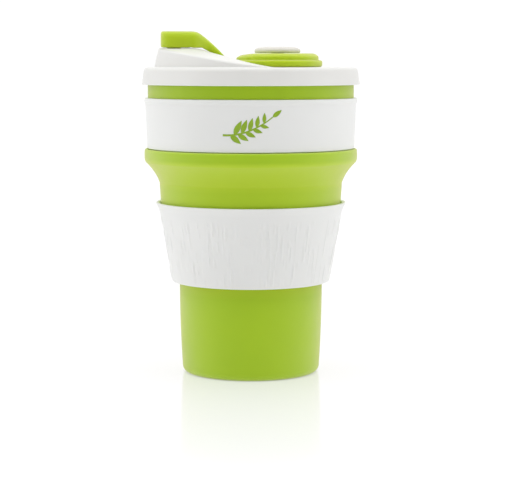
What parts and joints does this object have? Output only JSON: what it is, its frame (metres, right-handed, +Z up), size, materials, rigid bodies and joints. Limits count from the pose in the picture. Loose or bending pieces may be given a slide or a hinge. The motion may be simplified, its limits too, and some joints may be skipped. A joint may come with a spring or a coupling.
{
  "type": "collapsible travel cup",
  "caption": "Tapered silicone drinking cup that folds flat in nested rings, with stiff band, textured grip sleeve, and press-on lid with a raised drinking side and hinged stopper.",
  "frame": {"origin": "centre of the base, on the surface that the cup stands on", "axes": "+Z up along the cup's axis; the lid's drinking side faces -X and the stopper's disc lies towards +X"},
  "size_m": [0.0896, 0.0896, 0.1408],
  "materials": {
    "cup_silicone": "matte moulded silicone, yellow-green",
    "stopper_silicone": "matte moulded silicone, yellow-green",
    "band_plastic": "satin white polypropylene",
    "sleeve_plastic": "white polypropylene with moulded upright grain",
    "lid_plastic": "satin white polypropylene",
    "button_plastic": "satin white polypropylene"
  },
  "bodies": {
    "lower": {"lower_cup": "cup_silicone"},
    "middle": {"lower_fold": "cup_silicone", "middle_wall": "cup_silicone", "grip_sleeve": "sleeve_plastic"},
    "upper": {"upper_fold": "cup_silicone", "upper_wall": "cup_silicone", "upper_band": "band_plastic"},
    "lid": {"lid_shell": "lid_plastic", "stopper_disc": "stopper_silicone", "stopper_strap": "stopper_silicone", "stopper_button": "button_plastic"},
    "stopper": {"stopper_head": "stopper_silicone"}
  },
  "joints": [
    {"name": "lower_collapse", "type": "slide", "parent": "lower", "child": "middle", "axis": [0, 0, 1], "range_m": [-0.037, 0], "deforming": ["lower_fold"]},
    {"name": "upper_collapse", "type": "slide", "parent": "middle", "child": "upper", "axis": [0, 0, 1], "range_m": [-0.0188, 0], "deforming": ["upper_fold"]},
    {"name": "lid_lift", "type": "slide", "parent": "upper", "child": "lid", "axis": [0, 0, 1], "range_m": [0, 0.035]},
    {"name": "stopper_lift", "type": "hinge", "parent": "lid", "child": "stopper", "pos_m": [-0.0095, 0, 0.1292], "axis": [0, 1, 0], "range_deg": [0, 110], "deforming": ["stopper_strap"]}
  ]
}
